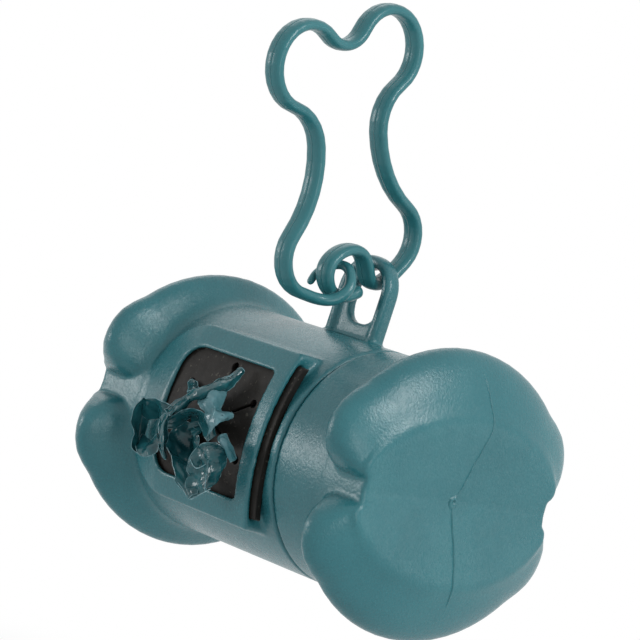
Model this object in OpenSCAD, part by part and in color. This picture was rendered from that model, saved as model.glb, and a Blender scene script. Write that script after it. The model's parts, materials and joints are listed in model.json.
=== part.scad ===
// Bone-shaped dispenser for a roll of dog waste bags.
// X runs along the shaft towards the cap, Z points up through the eyelet, -Y is the front with the outlet.
// The row's origin is the crook under the top of the clip, where a leash carries it.

/* [Shaft] */
// outside radius of the straight shaft
shaft_r = 19; // [17:0.5:22]
// wall thickness of the moulded case
wall = 1.6; // [1.2:0.1:2]
// length of the cap from the seam to its end face
cap_len = 22.4; // [21:0.1:26]
// gap between the rim of the case and the shoulder of the cap
seam_gap = 0.3; // [0.2:0.1:0.6]

/* [Bone ends] */
// half width of the oval end face
face_w = 21.5; // [20:0.1:23]
// half height of the oval end face
face_h = 13.8; // [12.5:0.1:15]
// depth of the shallow valley across the end face
valley_depth = 1.5; // [0.5:0.1:2]
// rounding of the end face's rim
face_round = 0.7; // [0.3:0.1:1.2]
// half width of a bone end over the ring that its lobes follow
lobe_w = 25.8; // [25:0.1:27]
// half height of a bone end
lobe_h = 22.9; // [22:0.1:24]
// distance of a lobe's crest from the end face
lobe_front_x = 6.6; // [6:0.1:8]
// distance from that crest back to the shaft
lobe_back_x = 4.8; // [4:0.1:6]
// fullness of the slope between face and crest
lobe_full = 2.3; // [1.8:0.1:3]
// radius of the knuckles that end each lobe
knuckle_r = 7.5; // [7:0.1:8]
// distance of the knuckles from the middle plane, to the side
knuckle_y = 17.1; // [16:0.1:18]
// height of the knuckles over the middle
knuckle_z = 7.6; // [7.2:0.1:8]
// angle at which a knuckle runs into its lobe
knuckle_end = 36; // [32:1:42]
// half angle of the notch between two knuckles
notch_angle = 5; // [4:0.1:7]
// angle over which a knuckle rises out of the notch
notch_ease = 9; // [4:0.5:12]
// angle by which the notch has widened where it reaches the end face
notch_flare = 1; // [0:0.5:6]
// angle by which the notch has widened where it runs out into the shaft
notch_spread = 15; // [4:1:20]
// small step over the shaft's surface where a raised form ends on it
foot_step = 0.15; // [0.1:0.05:0.3]
// radius of the notch's floor at the end face
notch_r = 19.5; // [19.4:0.1:21]
// turn of the cap about the shaft, as far as its thread carried it
cap_turn = 6; // [-10:1:10]

/* [Cap spigot] */
// length of the spigot that screws into the case
spigot_len = 7; // [5:0.5:7.5]
// radial gap between the spigot and the bore of the case
spigot_gap = 0.3; // [0.2:0.05:0.6]
// wall thickness of the spigot
spigot_wall = 1.3; // [1:0.1:1.5]
// thickness of the cap behind its end face
cap_floor = 3.2; // [3:0.1:4]

/* [Eyelet] */
// distance from the seam back to the middle of the eyelet
eye_back = 12.55; // [11:0.05:16]
// width of the eyelet along the shaft
eye_w = 11.9; // [11.7:0.1:13]
// depth of the eyelet's strap from front to back
eye_t = 3; // [2.4:0.1:3.4]
// thickness of the strap that runs up, over and down
strap_w = 1.9; // [1.6:0.1:2.2]
// rounding of the strap's edges
strap_round = 0.8; // [0.3:0.1:0.9]
// thickness of the web between the strap's legs
web_t = 1.6; // [1.2:0.1:2]
// height of the top of the eyelet above the shaft's surface
eye_rise = 13.6; // [12:0.1:16]
// radius of the hole's round top, in which the clip hangs
eye_hole_r = 3.2; // [3.15:0.05:3.3]
// height of the bottom of that hole above the shaft's surface
eye_sill = 2.5; // [1.5:0.1:3.5]
// rounding of the lower corners of that hole
eye_hole_round = 2.6; // [1:0.1:3]

/* [Outlet pocket] */
// distance from the seam back to the open right edge of the pocket
pocket_back = 3.5; // [2.6:0.1:4]
// length of the pocket along the shaft, up to where it fades into the shaft
pocket_len = 32; // [31:0.5:34]
// length of the sloping left end of the pocket
pocket_fade = 8; // [6:0.5:9]
// height of the pocket from bottom to top
pocket_h = 28.4; // [27:0.2:30]
// rounding of the pocket's left corners, seen from the front
pocket_round = 10; // [7:0.5:13]
// radius of the pocket's face, which is flatter than the shaft
pocket_face_r = 34; // [28:1:60]
// how far the middle of the pocket's face stands above the shaft
pocket_rise = 1.2; // [1:0.1:1.5]
// thickness of the pocket's face
pocket_skin = 0.85; // [0.8:0.05:1]
// distance from the pocket's right edge to the window
window_margin = 3.4; // [3:0.1:4.5]
// width of the window along the shaft
window_w = 21.2; // [18:0.2:22]
// height of the window
window_h = 20.6; // [18:0.2:22]
// rounding of the window's left corners
window_round = 3.6; // [1:0.1:5]
// width of the bevel at the window's left side
bevel_w = 1.6; // [0.8:0.1:2]

/* [Outlet insert] */
// thickness of the rubber sheet
rubber_t = 1.05; // [0.8:0.05:1.1]
// clearance of the rubber sheet in its slot, on each face
rubber_gap = 0.05; // [0.03:0.01:0.1]
// height of the rubber sheet
rubber_h = 24.4; // [23:0.2:25]
// how far the sheet stands out of the pocket's right edge
rubber_lip = 1.2; // [0.6:0.1:1.6]
// hold of the sheet behind the left side of the window
rubber_hold = 1.2; // [0.8:0.1:1.6]
// number of slits in the star
slit_count = 6; // [5:1:8]
// length of a slit from the middle of the star
slit_len = 9; // [7:0.2:9.4]
// width of a slit
slit_w = 0.5; // [0.3:0.05:0.8]
// radius of the round hole that ends a slit
slit_end_r = 0.7; // [0.4:0.05:0.9]
// radius of the opening in the middle of the star
star_r = 1.7; // [1.5:0.1:2.4]

/* [Bag roll] */
// room between the roll and the closed end
roll_room_back = 1.9; // [1:0.1:4]
// room between the roll and the floor of the cap
roll_room_front = 3.7; // [1:0.1:5]
// outside radius of the full roll
roll_r = 15.2; // [12:0.1:15.3]
// length of the roll
roll_len = 58; // [52:0.5:58]
// outside radius of the cardboard core
core_r = 5; // [4:0.1:7]
// wall thickness of the cardboard core
core_wall = 1.1; // [0.6:0.1:1.6]
// height of the step that the outermost bag makes around the roll
roll_step = 0.4; // [0.2:0.05:0.4]

/* [Bag end] */
// thickness given to the gathered film
film_t = 0.45; // [0.3:0.05:0.6]
// radius of the gathered film in the star
neck_r = 1.2; // [0.8:0.1:1.3]
// reach of the crumpled end in front of the rubber
tuft_reach = 8; // [6:0.5:10]
// half width of the crumpled end
tuft_half = 8; // [6:0.5:9]
// depth of the crumpled end's pleats, as a part of its width
pleat = 0.16; // [0.08:0.01:0.2]
// gap between the gathered film and the roll
film_gap = 0.3; // [0.2:0.05:0.6]

/* [Clip] */
// thickness of the clip's strip in the plane of the bone
strip_t = 1.9; // [1.6:0.1:2]
// width of the strip across that plane
strip_w = 3.6; // [3:0.1:3.8]
// radius of the two top lobes, to the middle of the strip
top_lobe_r = 6.45; // [6:0.05:7]
// half distance between the middles of the top lobes
top_lobe_x = 8.75; // [8.2:0.05:9.2]
// height of the top lobes above the lower lobes
lobe_rise = 30; // [28:0.2:36]
// half width of the waist, to the middle of the strip
waist_x = 6.75; // [6:0.05:7.2]
// height of the waist above the lower lobes
waist_rise = 17.2; // [16:0.1:18.5]
// radius of the two lower lobes
low_lobe_r = 5.7; // [5.5:0.05:5.9]
// half distance between the middles of the lower lobes
low_lobe_x = 8.65; // [8.5:0.05:8.8]
// depth of the notch at the top, above the middle of the top lobes
notch_rise = 2.1; // [1.6:0.1:2.6]
// lean of the clip towards the front
clip_lean = 24.7; // [10:0.1:28]
// turn of the clip about the upright axis
clip_yaw = 4; // [-6:1:6]
// tilt of the clip away from the cap
clip_tilt = 2.3; // [-4:0.1:4]

/* [Hidden] */
// length from the closed end face to the seam with the cap: the roll sets it
body_len = wall + valley_depth + roll_room_back + roll_len + roll_room_front - (cap_len - cap_floor);
$fn = 72;
bore_r = shaft_r - wall;
spigot_r = bore_r - spigot_gap;
cap_bore_r = spigot_r - spigot_wall;
sleeve_r = (bore_r + shaft_r) / 2;

arch_r = eye_w / 2;
eye_top = shaft_r + eye_rise;
arch_z = eye_top - arch_r;
eye_x = -eye_back;
hole_x = eye_x + arch_r - strap_w - eye_hole_r;
hole_z = eye_top - strap_w - 0.25 - eye_hole_r;

pocket_x1 = -pocket_back;
pocket_x0 = pocket_x1 - pocket_len;
face_y = shaft_r + pocket_rise;
skin_y = face_y - pocket_skin;
rubber_y1 = skin_y - rubber_gap;
rubber_y0 = rubber_y1 - rubber_t;
seat_y = rubber_y0 - rubber_gap;
window_x1 = pocket_x1 - window_margin;
window_x0 = window_x1 - window_w;
star_x = (window_x0 + window_x1) / 2 + 0.9;
rubber_x0 = window_x0 - rubber_hold;
rubber_x1 = pocket_x1 + rubber_lip;
roll_x = wall + valley_depth - body_len + roll_room_back + roll_len / 2;

// Everything is drawn about the shaft and moved here, so that the clip's crook lies at the origin.
clip_base = 6.8;
lean_m = [[1, 0, 0], [0, cos(clip_lean), -sin(clip_lean)], [0, sin(clip_lean), cos(clip_lean)]];
yaw_m = [[cos(clip_yaw), -sin(clip_yaw), 0], [sin(clip_yaw), cos(clip_yaw), 0], [0, 0, 1]];
tilt_m = [[cos(clip_tilt), 0, -sin(clip_tilt)], [0, 1, 0], [sin(clip_tilt), 0, cos(clip_tilt)]];
clip_m = yaw_m * tilt_m * lean_m;
clip_off = -5.5;
clip_foot = [hole_x, 0, hole_z + 1.25];
crook_b = clip_base + lobe_rise + notch_rise - strip_t / 2;
crook = clip_foot + clip_m * [0, clip_off, crook_b];

module placed() {
  translate(-crook)
    children();
}

// A profile drawn with X as radius and Y as distance along the shaft, turned about the shaft.
module turned() {
  rotate([0, 90, 0])
    rotate_extrude()
      children();
}

module tube(r_in, r_out, x0, x1) {
  translate([x0, 0, 0])
    rotate([0, 90, 0])
      difference() {
        cylinder(r = r_out, h = x1 - x0);
        if (r_in > 0)
          translate([0, 0, -1])
            cylinder(r = r_in, h = x1 - x0 + 2);
      }
}

// A rectangle with its lower left corner at the origin, rounded by rl at its left and by rr at its right.
module rounded_rect(w, h, rl, rr) {
  translate([rl, 0])
    square([w - rl - rr, h]);
  translate([0, rl])
    square([rl + 0.01, h - 2 * rl]);
  translate([w - rr - 0.01, rr])
    square([rr + 0.01, h - 2 * rr]);
  for (cy = [rl, h - rl])
    translate([rl, cy])
      circle(r = rl);
  for (cy = [rr, h - rr])
    translate([w - rr, cy])
      circle(r = rr);
}

// Such a rectangle, centred on the middle plane and pushed out of the shaft's axis towards the front.
module front_prism(x0, x1, h, rl, rr, y0, y1) {
  translate([x0, -y0, -h / 2])
    rotate([90, 0, 0])
      linear_extrude(height = y1 - y0)
        rounded_rect(x1 - x0, h, rl, rr);
}

// ---- a bone end: sections round the shaft's axis, lofted from the end face back into the shaft ----
function oval(a, w, h) = 1 / sqrt(pow(cos(a) / w, 2) + pow(sin(a) / h, 2));

// the far side of a circle with its centre at c, seen from the axis at the angle a
function far_side(a, c, r) = let (q = c[0] * sin(a) - c[1] * cos(a)) c[0] * cos(a) + c[1] * sin(a) + sqrt(max(0, r * r - q * q));

// the outline at the crest, for an angle in the first quarter
function crest(a) = let (
  k = far_side(a, [knuckle_y, knuckle_z], knuckle_r)
) a < knuckle_end ? k : max(k, oval(a, lobe_w, lobe_h));

// half the notch's angle at the fraction t of the way from the crest to the face or the shaft
function spread_at(t, most) = notch_angle + most * (1 - sqrt(1 - t * t));

// how far the knuckle has risen at the angle a out of a notch whose half angle is n, from 0 to 1
function risen(a, n) = let (u = 1 - min(1, (a - n) / notch_ease)) a <= n ? 0 : sqrt(1 - u * u);

// the radius at the angle a, where the lobe would reach full and the notch's floor lies at low
function notched(a, n, low, full) = a <= n ? low : low + (full - low) * (full > low ? risen(a, n) : 1);

// the notch's floor at the depth s behind the face: it widens towards the face
function floor_r(s) = shaft_r + foot_step + (notch_r - shaft_r - foot_step) * (1 - s / (lobe_front_x + lobe_back_x));

// the slope's height, 0 at the face or the shaft and 1 at the crest
function front_rise(t) = 1 - pow(1 - t, lobe_full);
function back_rise(t) = (1 + cos(180 * t)) / 2;

// angles of a quarter's points, closest together beside a notch whose half angle is n, and those of a whole turn
function quarter(n) = concat([0, n / 2, n], [for (i = [0:16]) n + 0.4 + (89.6 - n) * pow(i / 16, 1.35)]);
function turns(n) = let (q = quarter(n), m = len(q)) concat(
  q,
  [for (i = [m - 2:-1:0]) 180 - q[i]],
  [for (i = [1:m - 1]) 180 + q[i]],
  [for (i = [m - 2:-1:1]) 360 - q[i]]
);
function folded(a) = abs(((a + 90) % 180) - 90);
function face_s(z) = valley_depth * (1 - abs(z) / face_h);
function around(a, r, s) = [-s, r * cos(a), r * sin(a)];

// one point of the rim, set back from it by dr across and by ds along the shaft
function rim(a, dr, ds) = let (
  f = folded(a),
  r = notched(f, spread_at(1, notch_flare), notch_r, oval(f, face_w, face_h))
) around(a, r - dr, face_s((r - dr) * sin(a)) + ds);

// one point between the rim and the crest, at the fraction t
function front(a, t) = let (
  f = folded(a),
  r = oval(f, face_w, face_h),
  s0 = face_s(rim(a, 0, 0)[2]) + face_round,
  s = s0 + (lobe_front_x - s0) * t,
  full = r + (crest(f) - r) * front_rise(t)
) around(a, notched(f, spread_at(1 - t, notch_flare), floor_r(s), full), s);

// one point between the crest and the shaft, at the fraction t
function back(a, t) = let (
  f = folded(a),
  s = lobe_front_x + lobe_back_x * t
) around(a, notched(f, spread_at(t, notch_spread), floor_r(s), floor_r(s) + (crest(f) - floor_r(s)) * back_rise(t)), s);

function front_t(i) = pow(i / 7, 1.15);
bone_rings = concat(
  [for (k = [0, 0.5, 1]) [for (a = turns(spread_at(1, notch_flare))) rim(a, face_round * (1 - sin(90 * k)), face_round * (1 - cos(90 * k)))]],
  [for (i = [1:7]) [for (a = turns(spread_at(1 - front_t(i), notch_flare))) front(a, front_t(i))]],
  [for (i = [1:7]) [for (a = turns(spread_at(i / 7, notch_spread))) back(a, i / 7)]],
  [[for (a = turns(spread_at(1, notch_spread))) around(a, shaft_r - 0.6, lobe_front_x + lobe_back_x + 0.7)]]
);

// Closed rings of points, skinned from the first to the last, clockwise as seen from the last.
// The first ring is capped in two halves, so that they can meet in a valley.
module loft(rings) {
  n = len(rings[0]);
  last = len(rings) - 1;
  polyhedron(
    points = [for (r = rings) for (q = r) q],
    faces = concat(
      [[for (k = [n / 2:-1:0]) k]],
      [[for (k = [n:-1:n / 2]) k % n]],
      [for (i = [0:last - 1]) for (k = [0:n - 1]) let (m = (k + 1) % n) [i * n + k, i * n + m, (i + 1) * n + m]],
      [for (i = [0:last - 1]) for (k = [0:n - 1]) let (m = (k + 1) % n) [i * n + k, (i + 1) * n + m, (i + 1) * n + k]],
      [[for (k = [0:n - 1]) last * n + k]]
    ),
    convexity = 6
  );
}

// A bone end, with its face at x = 0 looking towards +X.
module bone_end() {
  loft(bone_rings);
}

module case_body() {
  color([0.27, 0.46, 0.48])
    placed()
      difference() {
        union() {
          translate([-body_len, 0, 0])
            mirror([1, 0, 0])
              bone_end();
          tube(0, shaft_r, -body_len + 6, -seam_gap / 2);
          pocket_shell();
          eyelet();
        }
        tube(0, bore_r, -body_len + wall + valley_depth, 5);
        pocket_slot();
        window();
      }
}

// A solid behind a face that is flatter than the shaft, whose middle lies at the distance y in front of the axis.
module flat_front(y) {
  translate([-body_len, pocket_face_r - y, 0])
    rotate([0, 90, 0])
      cylinder(r = pocket_face_r, h = body_len + cap_len, $fn = 144);
}

// The raised saddle over the insert: it sinks into the shaft at its left and is open at its right edge.
module pocket_shell() {
  slope = atan((pocket_rise + foot_step) / pocket_fade);
  intersection() {
    flat_front(face_y);
    translate([pocket_x0 + pocket_fade, -face_y, 0])
      rotate([0, 0, -slope])
        translate([-pocket_x0 - pocket_fade, face_y, 0])
          flat_front(face_y);
    front_prism(pocket_x0, pocket_x1, pocket_h, pocket_round, 0.8, 5, 30);
  }
}

// The room for the insert, open towards the cap.
module pocket_slot() {
  difference() {
    intersection() {
      flat_front(skin_y);
      front_prism(rubber_x0 - 0.2, rubber_x1 + 0.3, rubber_h + 0.4, 0.8, 0.3, 5, 30);
    }
    flat_front(seat_y);
  }
}

module window() {
  front_prism(window_x0, window_x1, window_h, window_round, 0.8, 10, 30);
  translate([window_x0, 0, 0])
    linear_extrude(height = window_h - 2 * window_round, center = true)
      polygon([
        [0.5, -skin_y - 0.2],
        [0.5, -face_y - 2],
        [-bevel_w - 1.6, -face_y - 2],
        [-bevel_w, -face_y],
        [0, -skin_y - 0.2]
      ]);
}

// The tab that stands on the shaft: a strap that runs up, over and down, with a thinner web between its legs.
module eyelet() {
  difference() {
    union() {
      translate([eye_x, web_t / 2, 0])
        rotate([90, 0, 0])
          linear_extrude(height = web_t) {
            translate([-arch_r + strap_w / 2, sleeve_r])
              square([2 * arch_r - strap_w, arch_z - sleeve_r]);
            translate([0, arch_z])
              circle(r = arch_r - strap_w / 2);
          }
      strap();
    }
    eyelet_hole();
  }
}

module strap() {
  translate([eye_x, 0, arch_z])
    rotate([90, 0, 0]) {
      rotate_extrude(angle = 180)
        translate([arch_r, 0])
          strap_section();
      for (s = [0, 1])
        mirror([s, 0, 0])
          rotate([90, 0, 0])
            linear_extrude(height = arch_z - sleeve_r)
              translate([arch_r, 0])
                strap_section();
    }
}

module strap_section() {
  translate([-strap_w, -eye_t / 2])
    rounded_rect(strap_w, eye_t, strap_round, strap_round);
}

module eyelet_hole() {
  sill = shaft_r + eye_sill;
  translate([hole_x, 10, 0])
    rotate([90, 0, 0])
      linear_extrude(height = 20) {
        translate([0, hole_z])
          circle(r = eye_hole_r);
        translate([-eye_hole_r, sill])
          rounded_rect(2 * eye_hole_r, hole_z - sill + eye_hole_round, eye_hole_round, eye_hole_round);
      }
}

module cap() {
  color([0.27, 0.46, 0.48])
    placed()
      rotate([cap_turn, 0, 0])
        difference() {
          union() {
            translate([cap_len, 0, 0])
              bone_end();
            tube(0, shaft_r, seam_gap / 2, cap_len - 6);
            tube(0, spigot_r, -spigot_len, 1);
          }
          tube(0, cap_bore_r, -spigot_len - 1, cap_len - cap_floor);
        }
}

module outlet_insert() {
  color([0.1, 0.1, 0.1])
    placed()
      difference() {
        intersection() {
          flat_front(rubber_y1);
          front_prism(rubber_x0, rubber_x1, rubber_h, 0.6, 0.3, 5, 30);
        }
        flat_front(rubber_y0);
        star();
      }
}

module star() {
  translate([star_x, -10, 0])
    rotate([90, 0, 0]) {
      cylinder(r = star_r, h = 20);
      for (i = [0:slit_count - 1])
        rotate([0, 0, (i + 0.5) * 360 / slit_count]) {
          translate([0, -slit_w / 2, 0])
            cube([slit_len, slit_w, 20]);
          translate([slit_len, 0, 0])
            cylinder(r = slit_end_r, h = 20);
        }
    }
}

module bag_roll() {
  color([0.24, 0.5, 0.55])
    placed()
      difference() {
        union() {
          tube(0, roll_r - roll_step, roll_x - roll_len / 2, roll_x + roll_len / 2);
          outer_bag();
        }
        tube(0, core_r, roll_x - roll_len, roll_x + roll_len);
      }
}

// The outermost bag goes once round and ends in a small step near the outlet.
module outer_bag() {
  intersection() {
    translate([0, -roll_step / 2, roll_step / 2])
      tube(0, roll_r - roll_step / 2, roll_x - roll_len / 2, roll_x + roll_len / 2);
    tube(0, roll_r, roll_x - roll_len / 2, roll_x + roll_len / 2);
  }
}

module roll_core() {
  color([0.66, 0.55, 0.4])
    placed()
      tube(core_r - core_wall, core_r, roll_x - roll_len / 2, roll_x + roll_len / 2);
}

// ---- the leading bag: gathered through the star, then opening into a crumpled cup ----
// the pleats round the cup, between -1 and 1
function crumple(a) = 0.5 * cos(5 * a + 20) + 0.3 * cos(8 * a + 70) + 0.2 * cos(3 * a + 140);

// one point of the film at the angle a, the fraction t of the way from the neck to the rim, and in depth of film
function film(a, t, inside) = let (
  b = 65 * t,
  r = neck_r + (tuft_half / (1 + pleat) - neck_r) * pow(t, 0.8),
  z = rubber_y1 + 1 + tuft_reach * (0.95 * t - 0.25 * t * t * t),
  w = r * (1 + pleat * t * crumple(a)) - inside * film_t * cos(b)
) [w * cos(a), w * sin(a), z + 1.3 * t * crumple(a + 60) + inside * film_t * sin(b)];

film_turns = [for (a = [0:7.5:359]) -a];
film_rings = concat(
  [for (z = [roll_r + film_gap, rubber_y1 + 0.4]) [for (a = film_turns) [neck_r * cos(a), neck_r * sin(a), z]]],
  [for (i = [1:7]) [for (a = film_turns) film(a, i / 7, 0)]],
  [for (i = [7:-1:1]) [for (a = film_turns) film(a, i / 7, 1)]],
  [[for (a = film_turns) [0.6 * cos(a), 0.6 * sin(a), rubber_y1 + 1.5]]]
);

module bag_end() {
  color([0.3, 0.55, 0.6])
    placed()
      translate([star_x, 0, 0])
        rotate([90, 0, 0])
          loft(film_rings);
}

// ---- the clip: one strip swept along a bone outline, ending in two linked curls ----
// Points are [across, up, out of plane, thickness, width], seen in the plane of the bone.
function arc(c, r, a0, a1, k) = [for (i = [0:k]) let (a = a0 + (a1 - a0) * i / k) [c[0] + r * cos(a), c[1] + r * sin(a), 0, strip_t, strip_w]];
function cut_first(v) = [for (i = [1:len(v) - 1]) v[i]];
function flip(v) = [for (i = [len(v) - 1:-1:0]) v[i]];
function mirrored(v) = [for (q = v) [-q[0], q[1], q[2], q[3], q[4]]];

top_c = [top_lobe_x, clip_base + lobe_rise];
low_c = [low_lobe_x, clip_base];
waist_y = clip_base + waist_rise;
notch_arc_r = ((top_lobe_x * top_lobe_x) - (top_lobe_r * top_lobe_r) + (notch_rise * notch_rise)) / (2 * (top_lobe_r - notch_rise));
notch_c = [0, top_c[1] + notch_rise + notch_arc_r];
up_d = top_c[1] - waist_y;
dn_d = waist_y - low_c[1];
up_r = ((waist_x - top_lobe_x) * (waist_x - top_lobe_x) + up_d * up_d - top_lobe_r * top_lobe_r) / (2 * (top_lobe_r - waist_x + top_lobe_x));
dn_r = ((waist_x - low_lobe_x) * (waist_x - low_lobe_x) + dn_d * dn_d - low_lobe_r * low_lobe_r) / (2 * (low_lobe_r - waist_x + low_lobe_x));
up_c = [waist_x + up_r, waist_y];
dn_c = [waist_x + dn_r, waist_y];
a_notch = atan2(top_c[1] - notch_c[1], top_c[0] - notch_c[0]);
a_up = atan2(up_c[1] - top_c[1], up_c[0] - top_c[0]);
a_dn = atan2(dn_c[1] - low_c[1], dn_c[0] - low_c[0]);

// the right half of the outline, from the crook at the top down to the lower lobe
half_outline = concat(
  arc(notch_c, notch_arc_r, -90, a_notch, 5),
  cut_first(arc(top_c, top_lobe_r, a_notch + 180, a_up, 16)),
  cut_first(arc(up_c, up_r, a_up + 180, 180, 5)),
  cut_first(arc(dn_c, dn_r, 180, a_dn + 180, 6)),
  cut_first(arc(low_c, low_lobe_r, a_dn, -58, 8))
);

// the right end goes through the eyelet and curls round in front of it
right_curl = [
  [10.1, 1.05, 0, strip_t, strip_w],
  [8.3, 0.15, 0, strip_t, strip_w],
  [6.6, -0.3, 0, strip_t, strip_w],
  [5.2, -0.35, 0, strip_t, strip_w],
  [4.2, 0.2, 0, strip_t, strip_w],
  [3.6, 1.3, 0, strip_t, strip_w],
  [3.3, 2.9, 0, strip_t, strip_w],
  [2.6, 4.9, 0, strip_t, strip_w],
  [1.1, 6.1, 0, strip_t, strip_w],
  [-0.9, 6.5, 0, strip_t, strip_w],
  [-3.1, 6.1, 0, strip_t, strip_w],
  [-4.8, 5.0, 0, strip_t, strip_w],
  [-5.5, 3.3, 0, strip_t, strip_w],
  [-5.1, 1.4, 0, strip_t, strip_w - 0.2],
  [-3.9, 0.0, 0, strip_t, strip_w - 0.4],
  [-2.2, -0.8, 0, strip_t, strip_w - 0.6],
  [-0.4, -0.95, 0, strip_t + 0.1, strip_w - 0.6],
  [1.1, -0.7, 0, strip_t + 0.3, strip_w - 0.5]
];

// the left end hooks through that curl from the front and comes back behind it
left_curl = [
  [-9.5, 0.85, 0.1, strip_t, strip_w],
  [-8.1, 0.15, 0.6, strip_t, strip_w - 0.5],
  [-6.7, -0.25, 1.5, strip_t, strip_w - 1.0],
  [-5.5, -0.1, 2.5, strip_t, strip_w - 1.5],
  [-4.3, 0.6, 3.1, strip_t, strip_w - 1.7],
  [-3.2, 1.5, 3.1, strip_t - 0.1, strip_w - 1.75],
  [-2.3, 2.6, 2.5, strip_t - 0.2, strip_w - 1.85],
  [-1.6, 3.7, 1.3, strip_t - 0.3, strip_w - 1.95],
  [-1.6, 4.15, 0, strip_t - 0.4, strip_w - 2.1],
  [-2.2, 4.0, -1.3, strip_t - 0.5, strip_w - 2.2],
  [-3.3, 3.6, -2.4, strip_t - 0.6, strip_w - 2.3],
  [-4.7, 2.9, -2.85, strip_t - 0.6, strip_w - 2.3],
  [-6.1, 1.9, -2.7, strip_t - 0.7, strip_w - 2.4]
];

// a smooth curve through control points, k steps to each
function spline(p, k) = [for (i = [0:len(p) - 2]) for (j = [0:k - 1]) let (
  a = p[max(0, i - 1)],
  b = p[i],
  c = p[i + 1],
  d = p[min(len(p) - 1, i + 2)],
  u = j / k
) 0.5 * ((2 * b) + (c - a) * u + (2 * a - 5 * b + 4 * c - d) * u * u + (3 * b - a - 3 * c + d) * u * u * u)];

joint_r = half_outline[len(half_outline) - 1];
joint_l = mirrored([joint_r])[0];
right_tail = concat(spline(concat([joint_r], right_curl), 3), [right_curl[len(right_curl) - 1]]);
left_tail = concat(spline(concat([joint_l], left_curl), 3), [left_curl[len(left_curl) - 1]]);
right_path = concat(half_outline, cut_first(right_tail));
left_path = concat(mirrored(half_outline), cut_first(left_tail));

function unit(v) = v / norm(v);
function spot(q) = [q[2], q[0], q[1]];
function tangent(p, i) = unit(spot(p[min(len(p) - 1, i + 1)]) - spot(p[max(0, i - 1)]));

// the strip's width direction, carried along the path without twist
function carry(p, i, w) = i >= len(p) ? [] : let (
  t = tangent(p, i),
  v = unit(w - (w * t) * t)
) concat([v], carry(p, i + 1, v));

facets = 14;
function ring(p, i, w, grow, push) = let (
  t = tangent(p, i),
  b = cross(w, t),
  c = spot(p[i]) + push * t
) [for (k = [0:facets - 1]) let (
  a = (k + 0.5) * 360 / facets,
  x = sign(cos(a)) * pow(abs(cos(a)), 0.8),
  y = sign(sin(a)) * pow(abs(sin(a)), 0.8)
) c + b * (x * p[i][3] / 2 * grow) + w * (y * p[i][4] / 2 * grow)];

// the whole path, from the tip of the left curl over the top to the knob of the right curl
whole = concat(flip(left_path), cut_first(right_path));
start_w = [1, 0, 0];
whole_w = concat(flip(carry(left_path, 0, start_w)), cut_first(carry(right_path, 0, start_w)));
stations = len(whole);
tip_r = whole[0][3] / 2;
knob_r = whole[stations - 1][3] / 2;
rings = concat(
  [ring(whole, 0, whole_w[0], 0.45, -0.85 * tip_r), ring(whole, 0, whole_w[0], 0.85, -0.45 * tip_r)],
  [for (i = [0:stations - 1]) ring(whole, i, whole_w[i], 1, 0)],
  [ring(whole, stations - 1, whole_w[stations - 1], 0.85, 0.45 * knob_r), ring(whole, stations - 1, whole_w[stations - 1], 0.45, 0.85 * knob_r)]
);
clip_points = [for (r = rings) for (q = r) q];
last = len(rings) - 1;
clip_faces = concat(
  [[for (k = [0:facets - 1]) k]],
  [for (i = [0:last - 1]) for (k = [0:facets - 1]) let (n = (k + 1) % facets) [i * facets + k, (i + 1) * facets + n, i * facets + n]],
  [for (i = [0:last - 1]) for (k = [0:facets - 1]) let (n = (k + 1) % facets) [i * facets + k, (i + 1) * facets + k, (i + 1) * facets + n]],
  [[for (k = [facets - 1:-1:0]) last * facets + k]]
);

module clip() {
  color([0.25, 0.43, 0.46])
    placed()
      translate(clip_foot)
        rotate([clip_lean, -clip_tilt, clip_yaw])
          translate([0, clip_off, 0])
            polyhedron(points = clip_points, faces = clip_faces, convexity = 12);
}

case_body();
cap();
outlet_insert();
bag_roll();
roll_core();
bag_end();
clip();
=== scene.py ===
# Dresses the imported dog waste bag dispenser: materials, crumpled film, mould marks, light and camera.
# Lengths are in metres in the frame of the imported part. Things are placed in case coordinates: millimetres about the
# shaft's axis, with the seam between case and cap at x = 0.
import bpy
import bmesh
import json
import math
import numpy as np
from mathutils import Matrix, Vector
from mathutils.bvhtree import BVHTree


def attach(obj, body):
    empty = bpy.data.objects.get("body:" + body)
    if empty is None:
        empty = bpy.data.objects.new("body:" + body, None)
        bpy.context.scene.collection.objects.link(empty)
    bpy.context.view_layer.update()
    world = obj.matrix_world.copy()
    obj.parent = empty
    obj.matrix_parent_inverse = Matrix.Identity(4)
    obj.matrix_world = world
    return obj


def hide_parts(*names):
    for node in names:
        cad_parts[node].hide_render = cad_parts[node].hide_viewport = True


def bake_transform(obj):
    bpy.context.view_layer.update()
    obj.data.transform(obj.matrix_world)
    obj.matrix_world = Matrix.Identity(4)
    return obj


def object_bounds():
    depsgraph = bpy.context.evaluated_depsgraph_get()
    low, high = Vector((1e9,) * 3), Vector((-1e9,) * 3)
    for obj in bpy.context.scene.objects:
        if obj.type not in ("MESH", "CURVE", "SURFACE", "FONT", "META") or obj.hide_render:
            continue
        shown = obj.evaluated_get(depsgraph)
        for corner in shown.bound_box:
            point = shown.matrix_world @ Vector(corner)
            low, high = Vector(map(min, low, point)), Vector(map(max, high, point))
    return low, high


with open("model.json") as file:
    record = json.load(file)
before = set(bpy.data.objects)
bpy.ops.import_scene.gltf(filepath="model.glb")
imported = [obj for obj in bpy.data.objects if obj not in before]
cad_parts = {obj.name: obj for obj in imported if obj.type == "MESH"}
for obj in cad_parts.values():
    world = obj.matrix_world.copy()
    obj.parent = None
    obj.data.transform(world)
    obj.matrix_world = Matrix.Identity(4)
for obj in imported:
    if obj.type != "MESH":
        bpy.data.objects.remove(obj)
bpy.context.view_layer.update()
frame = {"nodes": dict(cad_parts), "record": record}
nodes = frame["nodes"]
scene = bpy.context.scene

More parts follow.
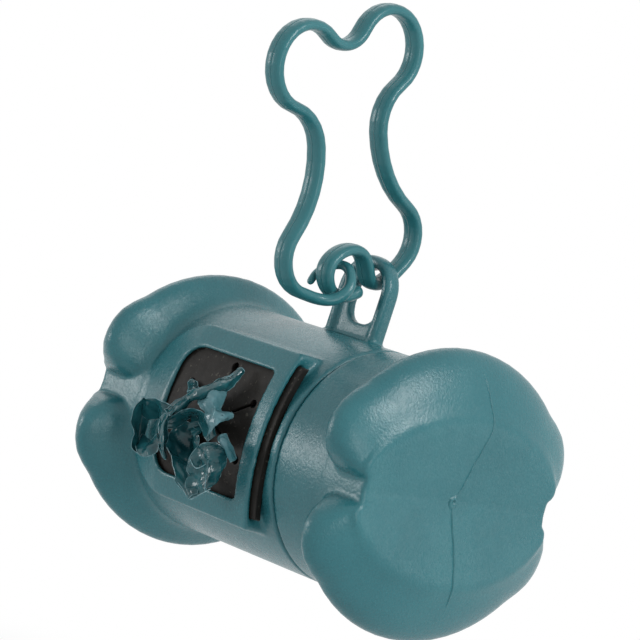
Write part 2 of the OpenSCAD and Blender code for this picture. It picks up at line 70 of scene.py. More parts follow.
CROOK = np.array([-11.5335, -20.8941, 60.6537])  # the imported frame's origin, in case coordinates
BODY_LEN, CAP_LEN = 47.5, 22.4  # from the seam to each end face
CAP_TURN = 6.0  # degrees that the cap is turned against the case
RUBBER_Y = 19.3  # from the shaft's axis to the front of the rubber


def row(p):
    """A point in case coordinates, in millimetres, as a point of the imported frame, in metres."""
    return Vector(((np.asarray(p, float) - CROOK) / 1000).tolist())


# ---- camera ----
AZ, EL, ROLL = math.radians(48.08), math.radians(-0.37), math.radians(17.98)
DIST, OFF_X, OFF_Z = 453.97, -7.3875, 23.4065
PIXELS, FOCAL = 640, 2914.0  # width of the picture, and the focal length in its pixels
SENSOR = 36.0
to_cam = np.array([math.sin(AZ) * math.cos(EL), -math.cos(AZ) * math.cos(EL), math.sin(EL)])
flat_right = np.cross(-to_cam, [0, 0, 1.0])
flat_right /= np.linalg.norm(flat_right)
flat_up = np.cross(flat_right, -to_cam)
right = math.cos(ROLL) * flat_right + math.sin(ROLL) * flat_up
up = -math.sin(ROLL) * flat_right + math.cos(ROLL) * flat_up
eye = to_cam * DIST + right * OFF_X + up * OFF_Z  # case coordinates
camera = bpy.data.cameras.new("camera")
camera.sensor_fit = "HORIZONTAL"
camera.sensor_width = SENSOR
camera.lens = FOCAL * SENSOR / PIXELS
camera.clip_start, camera.clip_end = 0.01, 20
cam_ob = bpy.data.objects.new("camera", camera)
scene.collection.objects.link(cam_ob)
turn = Matrix([[right[i], up[i], to_cam[i], 0] for i in range(3)] + [[0, 0, 0, 1]])
cam_ob.matrix_world = Matrix.Translation(row(eye)) @ turn
scene.camera = cam_ob


def seen(px, py, depth):
    """The point behind pixel (px, py), depth millimetres in front of the rubber, in case coordinates."""
    ray = -to_cam + right * (px - PIXELS / 2) / FOCAL - up * (py - PIXELS / 2) / FOCAL
    t = (-(RUBBER_Y + depth) - eye[1]) / ray[1]
    return eye + ray * t


# ---- node helpers ----
def new_material(name):
    m = bpy.data.materials.new(name)
    m.use_nodes = True
    m.node_tree.nodes.clear()
    out = m.node_tree.nodes.new("ShaderNodeOutputMaterial")
    bsdf = m.node_tree.nodes.new("ShaderNodeBsdfPrincipled")
    m.node_tree.links.new(bsdf.outputs[0], out.inputs[0])
    return m, m.node_tree, bsdf, out


def add(tree, kind, **values):
    n = tree.nodes.new("ShaderNode" + kind)
    for key, value in values.items():
        if key in n.inputs:
            n.inputs[key].default_value = value
        else:
            setattr(n, key, value)
    return n


def noise(tree, scale, detail, rough, coord):
    n = add(tree, "TexNoise")
    n.inputs["Scale"].default_value = scale
    n.inputs["Detail"].default_value = detail
    n.inputs["Roughness"].default_value = rough
    tree.links.new(coord, n.inputs["Vector"])
    return n.outputs["Fac"]


def ramp(tree, fac, stops):
    r = add(tree, "ValToRGB")
    el = r.color_ramp.elements
    while len(el) < len(stops):
        el.new(0.5)
    for e, (pos, col) in zip(el, stops):
        e.position = pos
        e.color = col if len(col) == 4 else (*col, 1)
    tree.links.new(fac, r.inputs[0])
    return r.outputs[0]


def mix_rgb(tree, fac, a, b):
    m = add(tree, "Mix", data_type="RGBA", blend_type="MIX")
    for socket, value in ((m.inputs[0], fac), (m.inputs[6], a), (m.inputs[7], b)):
        if isinstance(value, bpy.types.NodeSocket):
            tree.links.new(value, socket)
        else:
            socket.default_value = value if not isinstance(value, tuple) else (*value, 1)
    return m.outputs[2]


def maths(tree, op, a, b=0.5, c=0.5, clamp=False):
    m = add(tree, "Math", operation=op, use_clamp=clamp)
    for socket, value in zip(m.inputs, (a, b, c)):
        if isinstance(value, bpy.types.NodeSocket):
            tree.links.new(value, socket)
        else:
            socket.default_value = value
    return m.outputs[0]


def lift(tree, height, distance, normal=None):
    """A normal raised by height, from 0 to 1, times distance, on top of an earlier normal."""
    b = add(tree, "Bump")
    b.inputs["Strength"].default_value = 1.0
    b.inputs["Distance"].default_value = distance
    tree.links.new(height, b.inputs["Height"])
    if normal is not None:
        tree.links.new(normal, b.inputs["Normal"])
    return b.outputs[0]


def soft_edges(tree, radius):
    b = add(tree, "Bevel", samples=6)
    b.inputs["Radius"].default_value = radius
    return b.outputs[0]


def coords(tree):
    return add(tree, "TexCoord").outputs["Object"]


def shown_directly(tree):
    """1 for rays from the camera, off a mirror or through something clear."""
    path = add(tree, "LightPath")
    bounced = maths(tree, "MAXIMUM", path.outputs["Is Glossy Ray"], path.outputs["Is Transmission Ray"])
    return maths(tree, "MAXIMUM", path.outputs["Is Camera Ray"], bounced)


# ---- the two moulded plastics ----
COARSE_SHARE = 0.22  # height of the coarse grain against the fine one
PARTING_WIDTH, PARTING_HEIGHT = 0.00022, 0.00014


def teal_plastic(name, base, dark, light, rough, grain, grain_mm, spec, parting=None):
    """A cloudy colour under a spark-eroded or polished grain. parting is the axis across the mould's parting line."""
    m, t, bsdf, out = new_material(name)
    c = coords(t)
    cloud = noise(t, 60, 3.0, 0.6, c)
    col = ramp(t, cloud, [(0.3, dark), (0.5, base), (0.72, light)])
    fleck = noise(t, 1900, 2.0, 0.5, c)
    col = mix_rgb(t, maths(t, "MULTIPLY", fleck, 0.22), col, light)
    t.links.new(col, bsdf.inputs["Base Color"])
    fine = noise(t, 1000 / grain_mm, 3.0, 0.6, c)
    coarse = noise(t, 330 / grain_mm, 2.0, 0.5, c)
    r = maths(t, "MULTIPLY_ADD", coarse, 0.14, rough - 0.07)
    t.links.new(maths(t, "MULTIPLY_ADD", fine, 0.12, maths(t, "SUBTRACT", r, 0.06)), bsdf.inputs["Roughness"])
    n = lift(t, coarse, grain * COARSE_SHARE)
    n = lift(t, fine, grain, n)
    if parting is not None:
        side = add(t, "VectorMath", operation="DOT_PRODUCT")
        side.inputs[1].default_value = parting
        t.links.new(c, side.inputs[0])
        off = maths(t, "MULTIPLY", maths(t, "ABSOLUTE", side.outputs["Value"]), 1 / PARTING_WIDTH)
        n = lift(t, maths(t, "SUBTRACT", 1.0, off, clamp=True), PARTING_HEIGHT, n)
    t.links.new(n, bsdf.inputs["Normal"])
    bsdf.inputs["IOR"].default_value = 1.49
    bsdf.inputs["Specular IOR Level"].default_value = spec
    return m


shell = teal_plastic(
    "shell", base=(0.026, 0.156, 0.180), dark=(0.021, 0.138, 0.160), light=(0.035, 0.178, 0.201),
    rough=0.27, grain=0.00007, grain_mm=0.40, spec=0.44)
clip_mat = teal_plastic(
    "clip", base=(0.029, 0.170, 0.190), dark=(0.023, 0.152, 0.172), light=(0.038, 0.192, 0.212),
    rough=0.31, grain=0.00004, grain_mm=0.6, spec=0.42, parting=tuple(frame["record"]["mounts"][0]["axis"]))

# ---- rubber ----
rubber, t, bsdf, out = new_material("rubber")
c = coords(t)
dust = noise(t, 900, 4.0, 0.7, c)
speck = maths(t, "GREATER_THAN", noise(t, 1500, 1.0, 0.5, c), 0.70)
patchy = noise(t, 240, 3.0, 0.6, c)
col = ramp(t, patchy, [(0.3, (0.008, 0.007, 0.006)), (0.75, (0.018, 0.015, 0.012))])
col = mix_rgb(t, maths(t, "MULTIPLY", speck, 0.35), col, (0.16, 0.15, 0.12))
t.links.new(col, bsdf.inputs["Base Color"])
t.links.new(maths(t, "MULTIPLY_ADD", dust, 0.3, 0.42), bsdf.inputs["Roughness"])
n = lift(t, dust, 0.00006, soft_edges(t, 0.0003))
t.links.new(n, bsdf.inputs["Normal"])
bsdf.inputs["Specular IOR Level"].default_value = 0.22


# ---- film ----
def film_material(name, dark, light, through_share):
    """Thin, glossy film. through_share is the share of the light that passes through it."""
    m, t, bsdf, out = new_material(name)
    c = coords(t)
    tone = noise(t, 260, 3.0, 0.6, c)
    col = ramp(t, tone, [(0.3, dark), (0.7, light)])
    t.links.new(col, bsdf.inputs["Base Color"])
    bsdf.inputs["Roughness"].default_value = 0.2
    bsdf.inputs["IOR"].default_value = 1.5
    bsdf.inputs["Specular IOR Level"].default_value = 0.42
    fine = noise(t, 900, 2.0, 0.5, c)
    t.links.new(lift(t, fine, 0.00008, lift(t, tone, 0.0003)), bsdf.inputs["Normal"])
    through = add(t, "BsdfTranslucent")
    t.links.new(col, through.inputs["Color"])
    both = add(t, "MixShader")
    both.inputs[0].default_value = through_share
    t.links.new(bsdf.outputs[0], both.inputs[1])
    t.links.new(through.outputs[0], both.inputs[2])
    t.links.new(both.outputs[0], out.inputs[0])
    return m


film_mat = film_material("film", (0.004, 0.050, 0.060), (0.024, 0.150, 0.170), 0.10)
# painted light: a lighter copy of the film, for the leaves that catch the light
film_painted_lit_mat = film_material("film_painted_lit", (0.045, 0.190, 0.220), (0.200, 0.380, 0.420), 0.22)

# painted highlight: bright lines, broken by noise, along the film's edges and hard creases
edge_highlight_mat, t, bsdf, out = new_material("film_painted_highlight")
c = coords(t)
col = ramp(t, noise(t, 700, 2.0, 0.5, c), [(0.35, (0.020, 0.110, 0.130)), (0.72, (0.30, 0.52, 0.56))])
t.links.new(col, bsdf.inputs["Base Color"])
bsdf.inputs["Roughness"].default_value = 0.25

# ---- the roll: layers of film, seen edge-on at its ends ----
LAYER_WAVES = 9000.0  # radians of the layers' ripple to a metre of radius
roll_mat, t, bsdf, out = new_material("roll")
c = coords(t)
sep = add(t, "SeparateXYZ")
t.links.new(c, sep.inputs[0])
axis = row((0, 0, 0))
dy = maths(t, "SUBTRACT", sep.outputs[1], axis.y)
dz = maths(t, "SUBTRACT", sep.outputs[2], axis.z)
radius = maths(t, "SQRT", maths(t, "ADD", maths(t, "MULTIPLY", dy, dy), maths(t, "MULTIPLY", dz, dz)))
wob = noise(t, 90, 2.0, 0.5, c)
bent_radius = maths(t, "ADD", radius, maths(t, "MULTIPLY", wob, 0.0006))
layers = maths(t, "SINE", maths(t, "MULTIPLY", bent_radius, LAYER_WAVES))
tone = noise(t, 160, 3.0, 0.6, c)
col = ramp(t, tone, [(0.3, (0.080, 0.215, 0.250)), (0.7, (0.125, 0.285, 0.320))])
col = mix_rgb(t, maths(t, "MULTIPLY_ADD", layers, 0.12, 0.12), col, (0.03, 0.09, 0.11))
t.links.new(col, bsdf.inputs["Base Color"])
bsdf.inputs["Roughness"].default_value = 0.35
t.links.new(lift(t, layers, 0.00006, lift(t, tone, 0.0002)), bsdf.inputs["Normal"])

# ---- cardboard ----
board, t, bsdf, out = new_material("cardboard")
c = coords(t)
fibre = add(t, "Mapping")
fibre.inputs["Scale"].default_value = (1.0, 4.0, 4.0)
t.links.new(c, fibre.inputs["Vector"])
grain = noise(t, 700, 4.0, 0.65, fibre.outputs[0])
t.links.new(ramp(t, grain, [(0.3, (0.30, 0.20, 0.115)), (0.7, (0.45, 0.32, 0.20))]), bsdf.inputs["Base Color"])
bsdf.inputs["Roughness"].default_value = 0.85
t.links.new(lift(t, grain, 0.00008), bsdf.inputs["Normal"])


def dress(name, material):
    nodes[name].data.materials.clear()
    nodes[name].data.materials.append(material)


for node, material in (
        ("case_body", shell), ("cap", shell), ("outlet_insert", rubber), ("clip", clip_mat), ("bag_roll", roll_mat),
        ("roll_core", board), ("bag_end", film_mat)):
    dress(node, material)


def skin(name, material, body, voxel, rounds, extra=None):
    """A finer copy of a node, with its sharp edges rounded as the mould leaves them.

    extra(p) gives each point's share of the further rounding, from 0 to 1, and how often that is applied.
    """
    node = nodes[name]
    remesh = node.modifiers.new("skin", "REMESH")
    remesh.mode = "VOXEL"
    remesh.voxel_size = voxel
    me = bpy.data.meshes.new_from_object(node.evaluated_get(bpy.context.evaluated_depsgraph_get()))
    node.modifiers.clear()
    n = len(me.vertices)
    p = np.empty(n * 3)
    me.vertices.foreach_get("co", p)
    p = p.reshape(n, 3)
    e = np.empty(len(me.edges) * 2, int)
    me.edges.foreach_get("vertices", e)
    e = e.reshape(-1, 2)
    count = np.bincount(e.ravel(), minlength=n)[:, None]

    def step(w):
        around = np.stack([
            np.bincount(e[:, 0], p[e[:, 1], i], n) + np.bincount(e[:, 1], p[e[:, 0], i], n) for i in range(3)
        ], 1)
        return p + (around / np.maximum(count, 1) - p) * w

    for _ in range(rounds):
        p = step(0.5)
    if extra is not None:
        w, times = extra(p * 1000 + CROOK)
        for _ in range(times):
            p = step(w[:, None] * 0.5)
    me.vertices.foreach_set("co", p.astype(np.float32).ravel())
    me.materials.clear()
    me.materials.append(material)
    me.polygons.foreach_set("use_smooth", [True] * len(me.polygons))
    me.update()
    ob = bpy.data.objects.new(name + "_skin", me)
    scene.collection.objects.link(ob)
    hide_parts(name)
    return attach(ob, body)


RIM_DEPTH, RIM_FADE, RIM_RADIUS = 5.2, 2.0, 9  # how far from the face, and from the axis, a rim is softened
NOTCH_DEG, RIM_ROUNDS = 14, 70


def bone_end_share(sign, face, turn_deg):
    """Softens a bone end's rim, except beside the notches, where the mould left it crisp."""
    def share(p):
        depth = face - sign * p[:, 0]
        a = math.radians(turn_deg)
        y = p[:, 1] * math.cos(a) + p[:, 2] * math.sin(a)
        z = -p[:, 1] * math.sin(a) + p[:, 2] * math.cos(a)
        off = np.degrees(np.arctan2(np.abs(z), np.abs(y)))
        near_face = np.clip((RIM_DEPTH - depth) / RIM_FADE, 0, 1)
        past_notch = np.clip((off - NOTCH_DEG) / NOTCH_DEG, 0, 1)
        return near_face * past_notch * (np.hypot(y, z) > RIM_RADIUS), RIM_ROUNDS
    return share


SHELL_VOXEL, CLIP_VOXEL = 0.00028, 0.00016
skin("case_body", shell, "case", SHELL_VOXEL, 6, bone_end_share(-1, BODY_LEN, 0))
cap_skin = skin("cap", shell, "cap", SHELL_VOXEL, 6, bone_end_share(1, CAP_LEN, CAP_TURN))
skin("clip", clip_mat, "clip", CLIP_VOXEL, 8)


def make(name, verts, faces, material, smooth=True):
    me = bpy.data.meshes.new(name)
    me.from_pydata([tuple(v) for v in verts], [], faces)
    me.materials.append(material)
    if smooth:
        me.polygons.foreach_set("use_smooth", [True] * len(me.polygons))
    ob = bpy.data.objects.new(name, me)
    scene.collection.objects.link(ob)
    return ob


# ---- the crumpled end of the leading bag ----
# Each leaf of film is a net of points: x and y on a grid laid over the outlet as the camera sees it, and how many
# millimetres the film stands in front of the rubber there.
GRID_X, GRID_Y, GRID_SCALE = 110, 310, 4.476  # the grid's corner in the picture, and its steps to a pixel


def on_grid(x, y, depth):
    return seen(GRID_X + x / GRID_SCALE, GRID_Y + y / GRID_SCALE, depth)


rope = [
    [(585, 262, 0.2), (590, 270, 0.5), (592, 282, 0.2)],
    [(530, 300, 1.6), (540, 316, 2.8), (548, 336, 1.4)],
    [(450, 330, 2.6), (458, 352, 4.2), (470, 385, 2.2)],
    [(350, 362, 3.4), (362, 392, 5.0), (390, 408, 2.6)],
    [(300, 405, 3.4), (315, 430, 5.2), (345, 440, 3.0)],
    [(245, 445, 3.8), (262, 470, 5.4), (290, 478, 3.6)],
]
narrow_folds = [
    [(240, 460, 4.2), (262, 470, 5.2), (285, 474, 3.6)],
    [(217, 505, 3.6), (240, 512, 5.0), (258, 520, 3.2)],
    [(222, 570, 3.4), (238, 572, 4.6), (256, 576, 3.0)],
    [(226, 630, 3.0), (240, 632, 4.0), (253, 630, 2.8)],
    [(238, 668, 2.6), (250, 669, 3.2), (259, 660, 2.4)],
]
left_panel = [
    [(150, 382, 4.6), (190, 390, 4.2), (232, 408, 4.4), (268, 442, 4.0)],
    [(140, 412, 3.2), (184, 438, 2.4), (226, 452, 3.0), (260, 468, 3.2)],
    [(136, 452, 1.8), (176, 488, 1.0), (214, 492, 1.6), (242, 498, 2.6)],
]
left_wall = [
    [(150, 382, 4.6), (118, 428, 4.6), (101, 505, 4.0), (96, 580, 3.8), (110, 620, 3.2)],
    [(158, 420, 2.2), (140, 470, 1.6), (129, 530, 1.2), (122, 582, 1.5), (124, 634, 2.6)],
    [(176, 472, 1.0), (170, 520, 0.9), (161, 562, 0.9), (152, 600, 1.2), (146, 652, 2.8)],
]
left_lip = [
    [(111, 620, 3.2), (135, 650, 3.6), (176, 654, 3.8), (214, 604, 4.0)],
    [(124, 592, 1.6), (150, 606, 2.8), (180, 612, 3.4), (206, 580, 3.4)],
    [(150, 560, 0.9), (166, 572, 1.3), (186, 576, 2.0), (202, 552, 2.8)],
]
arch = [
    [(245, 502, 4.0), (288, 478, 4.4), (340, 448, 4.6), (388, 440, 4.2), (432, 478, 4.0), (474, 560, 3.4)],
    [(252, 512, 3.0), (296, 494, 3.4), (346, 464, 3.6), (386, 458, 3.2), (418, 505, 3.2), (456, 575, 3.0)],
    [(258, 526, 1.6), (304, 512, 1.4), (352, 486, 1.2), (384, 478, 1.4), (404, 528, 1.8), (440, 588, 2.6)],
]
inner_left = [
    [(268, 528, 1.8), (300, 518, 1.2), (350, 500, 0.7), (398, 540, 0.8)],
    [(262, 590, 3.8), (302, 586, 1.8), (350, 580, 0.6), (404, 590, 1.0)],
    [(270, 650, 4.4), (308, 655, 2.4), (346, 640, 1.0), (390, 622, 1.4)],
    [(289, 738, 4.2), (324, 722, 3.0), (350, 712, 1.8), (380, 680, 2.2)],
    [(300, 766, 3.8), (342, 790, 3.2), (366, 790, 2.8), (390, 760, 3.0)],
    [(354, 846, 2.6), (362, 840, 2.9), (374, 832, 2.8), (392, 822, 2.8)],
]
cup_front = [
    [(474, 588, 4.4), (420, 600, 5.6), (384, 620, 5.2), (352, 664, 5.6), (340, 716, 4.8)],
    [(520, 640, 3.6), (462, 652, 5.2), (420, 680, 4.2), (384, 708, 5.0), (346, 742, 4.4)],
    [(523, 684, 2.8), (472, 716, 4.0), (434, 748, 5.0), (388, 768, 3.4), (334, 776, 3.8)],
    [(470, 744, 2.4), (450, 800, 2.8), (422, 812, 3.6), (384, 830, 2.6), (355, 846, 2.6)],
]
bright_crumple = [
    [(400, 402, 3.0), (450, 382, 3.6), (490, 362, 2.2), (524, 348, 1.0)],
    [(410, 442, 4.0), (455, 424, 5.4), (490, 410, 3.2), (512, 428, 2.2)],
    [(426, 500, 4.0), (458, 482, 5.4), (502, 470, 4.0), (546, 461, 2.0)],
    [(446, 562, 3.4), (470, 520, 4.6), (500, 498, 3.8), (534, 490, 2.0)],
]
right_flap = [
    [(470, 575, 3.0), (492, 562, 4.2), (521, 551, 3.0)],
    [(490, 610, 3.2), (516, 602, 4.6), (541, 597, 3.2)],
    [(508, 642, 3.0), (532, 640, 4.2), (553, 631, 3.0)],
    [(525, 682, 2.6), (546, 678, 3.6), (569, 662, 2.6)],
]
back_flap = [
    [(350, 326, 0.2), (370, 308, 0.4), (392, 322, 0.2)],
    [(345, 346, 1.2), (372, 338, 2.0), (402, 345, 1.2)],
    [(338, 380, 2.0), (372, 376, 3.0), (414, 366, 1.8)],
]
creases = [
    [(345, 364, 3.9), (400, 348, 3.9), (455, 330, 3.0), (530, 299, 1.9), (582, 266, 0.6)],
    [(440, 655, 5.3), (438, 700, 4.8), (428, 760, 5.0), (424, 808, 3.8)],
    [(300, 766, 4.1), (325, 800, 3.6), (355, 846, 2.9), (400, 826, 3.0), (450, 800, 3.1)],
    [(455, 424, 5.7), (470, 440, 5.2), (458, 482, 5.6)],
    [(502, 470, 4.3), (520, 482, 3.2)],
    [(356, 664, 5.8), (384, 708, 5.2), (430, 690, 4.7)],
]


def catmull(a, b, c, d, u):
    return 0.5 * (2 * b + (c - a) * u + (2 * a - 5 * b + 4 * c - d) * u * u + (3 * b - a - 3 * c + d) * u ** 3)


def resample(net, k):
    """A net of points, smoothed to k steps between its rows."""
    net = np.asarray(net, float)
    out = []
    for i in range(len(net) - 1):
        q = [net[max(0, i - 1)], net[i], net[i + 1], net[min(len(net) - 1, i + 2)]]
        for j in range(k):
            out.append(catmull(*q, j / k))
    out.append(net[-1])
    return np.array(out)


FOLDS = ((6.0, 0.46), (3.4, 0.34), (2.1, 0.20), (1.2, 0.09))  # length and height of each set of folds


def crumple(p, seed):
    """Straight creases with flat film between them: ramps folded in several directions, in millimetres."""
    rng = np.random.default_rng(seed)
    h = np.zeros(p.shape[:-1])
    for wave, depth in FOLDS:
        d = rng.normal(size=3)
        d /= np.linalg.norm(d)
        s = p @ d / wave + rng.uniform()
        h += depth * (np.abs((s % 1) - 0.5) * 4 - 1)
    return h


film_v, film_f, painted_lit_f, painted_highlight_f = [], [], [], []
EDGE_RADIUS, CREASE_RADIUS, CREASE_LIFT = 0.055, 0.075, 0.1
FILM_CLEAR = 0.12  # a leaf's least distance from the rubber
BEAD_SIDES, LEAF_STEPS = 5, 8


def band(low, high, n):
    """The faces between two closed rings of n points, which start at low and at high."""
    return [(low + k, low + (k + 1) % n, high + (k + 1) % n, high + k) for k in range(n)]


def bead(line, radius, closed=False):
    """A fine bead along a line of points, in the painted-highlight colour: the film's own edge, or a hard crease."""
    n, base = len(line), len(film_v)
    for i in range(n):
        along = line[(i + 1) % n if closed else min(i + 1, n - 1)] - line[i - 1 if closed else max(i - 1, 0)]
        along = along / (np.linalg.norm(along) + 1e-9)
        a = np.cross(along, (0.3, 1.0, 0.2))
        a /= np.linalg.norm(a) + 1e-9
        c = np.cross(along, a)
        for k in range(BEAD_SIDES):
            q = 2 * math.pi * k / BEAD_SIDES
            film_v.append(row(line[i] + radius * (math.cos(q) * a + math.sin(q) * c)))
    for i in range(n if closed else n - 1):
        painted_highlight_f.extend(band(base + i * BEAD_SIDES, base + (i + 1) % n * BEAD_SIDES, BEAD_SIDES))


def leaf(net, seed, amount, faces=film_f):
    """A leaf of film over a net of grid points, smoothed, crumpled and edged with a painted-highlight bead."""
    pts = np.array([[on_grid(*q) for q in r] for r in net])
    pts = resample(pts, LEAF_STEPS)
    pts = resample(pts.transpose(1, 0, 2), LEAF_STEPS).transpose(1, 0, 2)
    du = np.gradient(pts, axis=0)
    dv = np.gradient(pts, axis=1)
    n = np.cross(du, dv)
    n /= np.linalg.norm(n, axis=-1, keepdims=True) + 1e-9
    pts = pts + n * crumple(pts, seed)[..., None] * amount
    pts[..., 1] = np.minimum(pts[..., 1], -(RUBBER_Y + FILM_CLEAR))
    base, (a, b) = len(film_v), pts.shape[:2]
    film_v.extend(row(q) for q in pts.reshape(-1, 3))
    for i in range(a - 1):
        for j in range(b - 1):
            faces.append((base + i * b + j, base + i * b + j + 1, base + (i + 1) * b + j + 1, base + (i + 1) * b + j))
    bead(np.concatenate([pts[0], pts[1:, -1], pts[-1, -2::-1], pts[-2:0:-1, 0]]), EDGE_RADIUS, closed=True)


leaf(rope, 3, 0.6)
leaf(narrow_folds, 4, 0.4)
leaf(left_panel, 5, 0.8)
leaf(left_wall, 6, 0.7)
leaf(left_lip, 8, 0.6)
leaf(arch, 7, 0.5)
leaf(inner_left, 9, 0.8)
leaf(cup_front, 11, 0.9)
# painted light: these two leaves take the lighter, lit copy of the film
leaf(bright_crumple, 17, 1.0, faces=painted_lit_f)
leaf(right_flap, 13, 0.6, faces=painted_lit_f)
leaf(back_flap, 19, 0.5)
# painted highlights: bright beads along the hard creases
for line in creases:
    bead(resample(np.array([on_grid(x, y, d + CREASE_LIFT) for x, y, d in line]), 6), CREASE_RADIUS)

# the gathered neck, which comes out of the middle of the star of slits and spreads into the leaves
STAR_X = -16.6
NECK_RINGS, NECK_POINTS = 12, 40
NECK_BEHIND, NECK_LEN, NECK_RADIUS = 1.6, 3.4, 0.95
base = len(film_v)
for i in range(NECK_RINGS + 1):
    u = i / NECK_RINGS
    y = RUBBER_Y - NECK_BEHIND + NECK_LEN * u
    r = NECK_RADIUS + 1.9 * max(0.0, u - 0.45) ** 1.5
    for j in range(NECK_POINTS):
        a = 2 * math.pi * j / NECK_POINTS
        q = r * (1 + 0.16 * math.sin(5 * a + 2 * u) + 0.09 * math.sin(11 * a - 3 * u))
        film_v.append(row((STAR_X + q * math.cos(a) - 1.2 * u * u, -y, q * math.sin(a) - 1.4 * u * u)))
for i in range(NECK_RINGS):
    film_f.extend(band(base + i * NECK_POINTS, base + (i + 1) * NECK_POINTS, NECK_POINTS))

film = make("bag_film", film_v, film_f + painted_lit_f + painted_highlight_f, film_mat)
film.data.materials.append(film_painted_lit_mat)
film.data.materials.append(edge_highlight_mat)
film.data.polygons.foreach_set("material_index", [0] * len(film_f) + [1] * len(painted_lit_f) + [2] * len(painted_highlight_f))
film.data.set_sharp_from_angle(angle=math.radians(12))
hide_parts("bag_end")
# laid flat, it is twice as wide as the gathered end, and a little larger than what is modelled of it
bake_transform(film)


# ---- mould marks on the cap's face ----
cap_tree = BVHTree.FromPolygons(
    [v.co for v in cap_skin.data.vertices], [tuple(q.vertices) for q in cap_skin.data.polygons])


def on_face(y, z, lift_mm):
    """A point lift_mm over the cap's end face, at y and z in the frame that turns with the cap."""
    a = math.radians(CAP_TURN)
    y, z = y * math.cos(a) - z * math.sin(a), y * math.sin(a) + z * math.cos(a)
    hit = cap_tree.ray_cast(row((40, y, z)), Vector((-1, 0, 0)))[0]
    return np.array([(hit.x * 1000 + CROOK[0]) + lift_mm, y, z])


def ridge(name, points, width, height):
    """A thin raised line along points, given as (y, z) on the face."""
    pts = resample(np.array(points, float), 6)
    verts, faces = [], []
    for i, (y, z) in enumerate(pts):
        along = pts[min(i + 1, len(pts) - 1)] - pts[max(i - 1, 0)]
        along = along / (np.linalg.norm(along) + 1e-9)
        side = np.array([-along[1], along[0]])
        fade = min(1.0, 0.25 + 4 * min(i, len(pts) - 1 - i) / len(pts))
        w = width * (0.8 + 0.3 * math.sin(i * 1.7))
        for k, lift_k in ((-1, -0.08), (-0.35, height * fade), (0.35, height * fade), (1, -0.08)):
            q = np.array([y, z]) + side * k * w / 2
            verts.append(row(on_face(q[0], q[1], lift_k)))
    for i in range(len(pts) - 1):
        for k in range(3):
            faces.append((i * 4 + k, i * 4 + k + 1, (i + 1) * 4 + k + 1, (i + 1) * 4 + k))
    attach(make(name, verts, faces, shell), "cap")


ridge("flow_line_up", [(-1.05, 0.3), (-0.1, 2.3), (0.8, 6.1), (2.4, 12.0), (1.6, 16.5), (0.4, 20.0)], 0.50, 0.16)
ridge("flow_line_down", [(-1.05, 0.0), (-0.6, -2.5), (1.0, -7.7), (2.0, -12.5), (2.9, -16.0)], 0.60, 0.24)

# the ragged stub of the gate: rings of a radius and a height over the face
GATE_Y, GATE_Z, GATE_POINTS = -1.05, 0.15, 14
gate_v, gate_f = [], []
rng = np.random.default_rng(2)
gate_rings = ((0.0, 0.04), (0.40, 0.26), (0.75, 0.20), (1.15, -0.06))
for radius, height in gate_rings:
    for k in range(GATE_POINTS):
        q = 2 * math.pi * k / GATE_POINTS
        w = radius * (1 + 0.25 * rng.uniform(-1, 1))
        h = height + 0.04 * rng.uniform(-1, 1)
        gate_v.append(row(on_face(GATE_Y + w * math.cos(q), GATE_Z + w * math.sin(q), h)))
for i in range(len(gate_rings) - 1):
    gate_f.extend(band(i * GATE_POINTS, (i + 1) * GATE_POINTS, GATE_POINTS))
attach(make("gate_mark", gate_v, gate_f, shell, smooth=False), "cap")

# ---- light ----
world = bpy.data.worlds.new("studio")
world.use_nodes = True
scene.world = world
t = world.node_tree
t.nodes.clear()
out = t.nodes.new("ShaderNodeOutputWorld")
ambient = add(t, "Background")
ambient.inputs["Color"].default_value = (0.93, 0.96, 1.0, 1)
ambient.inputs["Strength"].default_value = 0.42
white = add(t, "Background")
white.inputs["Color"].default_value = (1, 1, 1, 1)
white.inputs["Strength"].default_value = 1.0
mixed = add(t, "MixShader")
t.links.new(shown_directly(t), mixed.inputs[0])
t.links.new(ambient.outputs[0], mixed.inputs[1])
t.links.new(white.outputs[0], mixed.inputs[2])
t.links.new(mixed.outputs[0], out.inputs[0])


LAMP_TARGET = (-5, 0, 10)  # case coordinates


def lamp(name, where, size, power, tint=(1, 1, 1)):
    data = bpy.data.lights.new(name, "AREA")
    data.shape = "RECTANGLE"
    data.size, data.size_y = size
    data.energy = power
    data.color = tint
    ob = bpy.data.objects.new(name, data)
    scene.collection.objects.link(ob)
    target = row(LAMP_TARGET)
    ob.location = target + Vector(where)
    ob.rotation_euler = (target - ob.location).to_track_quat("-Z", "Y").to_euler()


def toward(r, u, c, dist):
    """A place dist metres from the target, by its shares to the camera's right, up and toward the camera."""
    v = right * r + up * u + to_cam * c
    return tuple(v / np.linalg.norm(v) * dist)


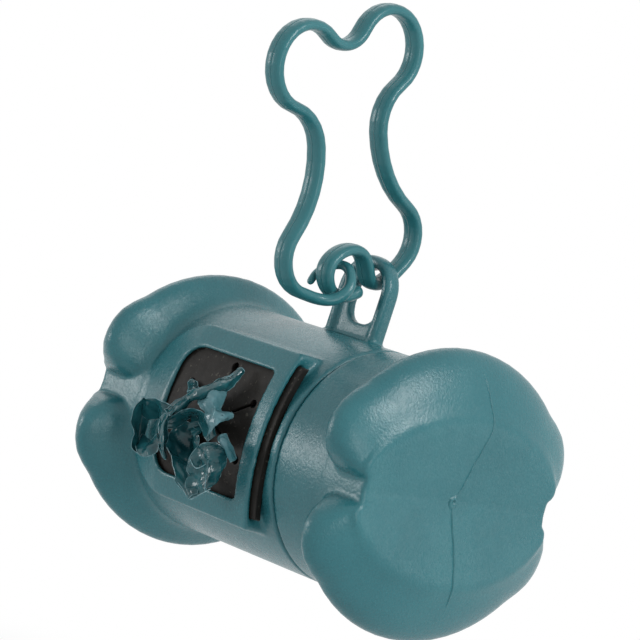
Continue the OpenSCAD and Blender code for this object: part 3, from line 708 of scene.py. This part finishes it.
lamp("key", toward(0.78, 0.34, 0.50, 0.7), (0.18, 0.18), 2.1)
lamp("front", toward(0.38, -0.20, 0.90, 0.75), (0.12, 0.38), 1.3)
lamp("right", toward(0.94, -0.34, 0.11, 0.7), (0.07, 0.24), 0.2)
lamp("left", toward(-0.97, 0.12, -0.06, 0.7), (0.22, 0.40), 2.7)
lamp("sky", toward(-0.10, 0.75, -0.65, 0.8), (0.5, 0.3), 0.45, (0.97, 0.99, 1.0))

# ---- floor: pale, and it fades into the white around it; near the object it keeps the shadow ----
floor_mat, t, bsdf, out = new_material("floor")
c = coords(t)
col = ramp(t, noise(t, 3, 2.0, 0.5, c), [(0.2, (0.84, 0.84, 0.84)), (0.8, (0.88, 0.88, 0.88))])
t.links.new(col, bsdf.inputs["Base Color"])
bsdf.inputs["Roughness"].default_value = 0.9
far = add(t, "VectorMath", operation="LENGTH")
t.links.new(c, far.inputs[0])
fade = add(t, "MapRange", interpolation_type="SMOOTHSTEP")
fade.inputs["From Min"].default_value = 0.10
fade.inputs["From Max"].default_value = 0.38
fade.inputs["To Min"].default_value = 0.5
fade.inputs["To Max"].default_value = 1.0
t.links.new(far.outputs["Value"], fade.inputs["Value"])
glow = add(t, "Emission")
glow.inputs["Color"].default_value = (1, 1, 1, 1)
glow.inputs["Strength"].default_value = 1.0
mixed = add(t, "MixShader")
t.links.new(maths(t, "MULTIPLY", shown_directly(t), fade.outputs["Result"]), mixed.inputs[0])
t.links.new(bsdf.outputs[0], mixed.inputs[1])
t.links.new(glow.outputs[0], mixed.inputs[2])
t.links.new(mixed.outputs[0], out.inputs[0])
FLOOR_DROP, FLOOR_SIZE = 0.06, 3.0
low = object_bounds()[0][2] - FLOOR_DROP
bm = bmesh.new()
bmesh.ops.create_grid(bm, x_segments=8, y_segments=8, size=FLOOR_SIZE)
me = bpy.data.meshes.new("floor")
bm.to_mesh(me)
bm.free()
me.materials.append(floor_mat)
floor = bpy.data.objects.new("floor", me)
floor.location = (0, 0, low)
scene.collection.objects.link(floor)

scene.view_settings.view_transform = "Standard"
bpy.context.view_layer.update()
